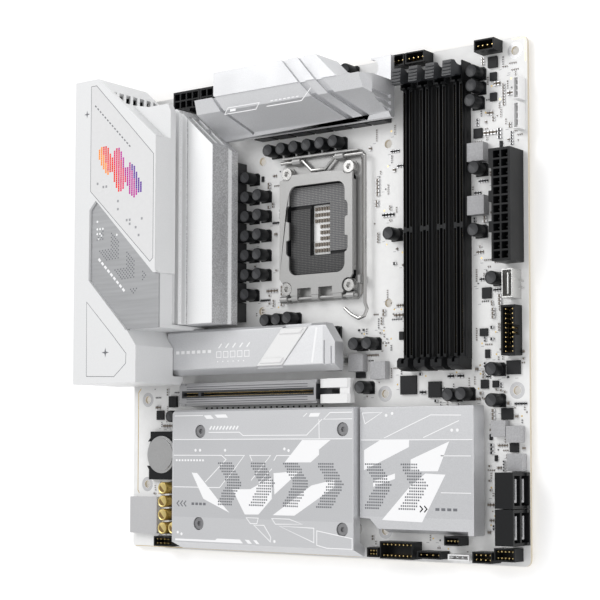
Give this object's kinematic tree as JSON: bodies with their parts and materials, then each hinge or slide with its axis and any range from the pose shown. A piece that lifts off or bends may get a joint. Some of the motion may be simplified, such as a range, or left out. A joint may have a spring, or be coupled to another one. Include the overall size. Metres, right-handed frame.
{
  "type": "computer motherboard",
  "caption": "Desktop computer motherboard with hinged processor socket clamp, memory slots with latches, armoured card slot, pale heatsinks, rear port shroud and cable connectors.",
  "frame": {"origin": "centre of the rear mounting hole beside the expansion slot, on the underside of the board", "axes": "+X from the rear port edge towards the front edge, +Y from the expansion slot edge towards the top edge, +Z out of the component side"},
  "size_m": [0.2498, 0.2474, 0.0496],
  "materials": {
    "white_laminate": "white solder mask over glass fibre laminate, slightly glossy",
    "black_plastic": "fine matte moulded plastic",
    "dark_plastic": "satin moulded plastic",
    "white_plastic": "satin white moulded plastic",
    "white_cover": "white painted cover, satin",
    "light_panel": "pale glossy panel over the lights",
    "light_board": "white solder mask",
    "brushed_gray": "brushed gray nameplate",
    "shield_dark": "black painted sheet steel",
    "port_steel": "plain steel port shells",
    "blasted_aluminium": "fine sand-blasted and anodised silver",
    "drive_aluminium": "sand-blasted and anodised light gray",
    "nickel_steel": "nickel plated steel",
    "bright_steel": "polished nickel plated steel",
    "dark_steel": "dark plated steel",
    "gold_plating": "gold plating",
    "contact_field": "dark plastic dense with fine contacts",
    "ceramic_parts": "sintered ceramic",
    "thermal_pad": "soft thermal pad",
    "chip_black": "moulded chip package",
    "chip_carrier": "dark green chip carrier and bare die",
    "ferrite_gray": "moulded ferrite",
    "can_black": "black sleeved can",
    "can_gold": "gold sleeved can",
    "cell_steel": "pressed steel cell",
    "shield_tin": "tinned cover"
  },
  "bodies": {
    "board": {"pcb": "white_laminate", "cpu_backplate": "dark_steel", "cpu_socket": "black_plastic", "socket_contacts": "contact_field", "socket_decouplers": "ceramic_parts", "ilm_frame": "nickel_steel", "ilm_screws": "bright_steel", "dimm_slot_1": "black_plastic", "dimm_slot_2": "black_plastic", "dimm_slot_3": "black_plastic", "dimm_slot_4": "black_plastic", "pcie_slot": "dark_plastic", "slot_contacts": "gold_plating", "pcie_armor": "bright_steel", "io_shroud": "white_cover", "io_light_panel": "light_panel", "io_light_board": "light_board", "io_brushed_panel": "brushed_gray", "io_shield": "shield_dark", "rear_usb_ports": "port_steel", "rear_video_ports": "port_steel", "rear_lan_port": "port_steel", "rear_audio_jacks": "black_plastic", "antenna_connectors": "gold_plating", "vrm_heatsink_left": "blasted_aluminium", "vrm_heatsink_top": "blasted_aluminium", "vrm_thermal_pads": "thermal_pad", "power_stages": "chip_black", "vrm_chokes": "ferrite_gray", "polymer_capacitors": "can_black", "audio_capacitors": "can_gold", "m2_upper_heatsink": "drive_aluminium", "m2_lower_heatsink": "blasted_aluminium", "chipset_heatsink": "blasted_aluminium", "chipset": "chip_carrier", "plate_screws": "dark_steel", "m2_connectors": "black_plastic", "m2_standoffs": "port_steel", "atx_power_connector": "black_plastic", "eps_power_connectors": "black_plastic", "usb_c_header": "port_steel", "usb3_header": "black_plastic", "sata_ports": "black_plastic", "fan_headers": "black_plastic", "front_panel_headers": "black_plastic", "battery_holder": "black_plastic", "coin_cell": "cell_steel", "audio_codec_shield": "shield_tin", "controller_chips": "chip_black", "filter_chokes": "ferrite_gray"},
    "ilm_load_plate": {"ilm_load_plate": "nickel_steel"},
    "ilm_lever": {"ilm_lever": "bright_steel"},
    "dimm_latch_1": {"dimm_latch_1": "dark_plastic"},
    "dimm_latch_2": {"dimm_latch_2": "dark_plastic"},
    "dimm_latch_3": {"dimm_latch_3": "dark_plastic"},
    "dimm_latch_4": {"dimm_latch_4": "dark_plastic"},
    "pcie_latch": {"pcie_latch": "white_plastic"},
    "flashback_button": {"flashback_button": "black_plastic"},
    "clear_cmos_button": {"clear_cmos_button": "black_plastic"},
    "m2_release_lever": {"m2_release_lever": "white_plastic"}
  },
  "joints": [
    {"name": "cpu_lever_hinge", "type": "hinge", "parent": "board", "child": "ilm_lever", "pos_m": [0.11794, 0.11859, 0.0058], "axis": [-1, 0, 0], "range_deg": [0, 120]},
    {"name": "load_plate_hinge", "type": "hinge", "parent": "board", "child": "ilm_load_plate", "pos_m": [0.11794, 0.04879, 0.0056], "axis": [1, 0, 0], "range_deg": [0, 100]},
    {"name": "pcie_latch_hinge", "type": "hinge", "parent": "board", "child": "pcie_latch", "pos_m": [0.12534, 0.00169, 0.0051], "axis": [0, 1, 0], "range_deg": [0, 12], "stiffness_Nm_per_rad": 0.05},
    {"name": "flashback_button_slide", "type": "slide", "parent": "board", "child": "flashback_button", "axis": [1, 0, 0], "range_m": [0, 0.0007], "stiffness_N_per_m": 600},
    {"name": "clear_cmos_button_slide", "type": "slide", "parent": "board", "child": "clear_cmos_button", "axis": [1, 0, 0], "range_m": [0, 0.0007], "stiffness_N_per_m": 600},
    {"name": "m2_release_slide", "type": "slide", "parent": "board", "child": "m2_release_lever", "axis": [0.652, 0.7582, 0], "range_m": [0, 0.0024], "stiffness_N_per_m": 150},
    {"name": "dimm_latch_1_hinge", "type": "hinge", "parent": "board", "child": "dimm_latch_1", "pos_m": [0.17259, 0.15099, 0.0042], "axis": [-1, 0, 0], "range_deg": [0, 25]},
    {"name": "dimm_latch_2_hinge", "type": "hinge", "parent": "board", "child": "dimm_latch_2", "pos_m": [0.18189, 0.15099, 0.0042], "axis": [-1, 0, 0], "range_deg": [0, 25]},
    {"name": "dimm_latch_3_hinge", "type": "hinge", "parent": "board", "child": "dimm_latch_3", "pos_m": [0.19119, 0.15099, 0.0042], "axis": [-1, 0, 0], "range_deg": [0, 25]},
    {"name": "dimm_latch_4_hinge", "type": "hinge", "parent": "board", "child": "dimm_latch_4", "pos_m": [0.20049, 0.15099, 0.0042], "axis": [-1, 0, 0], "range_deg": [0, 25]}
  ]
}
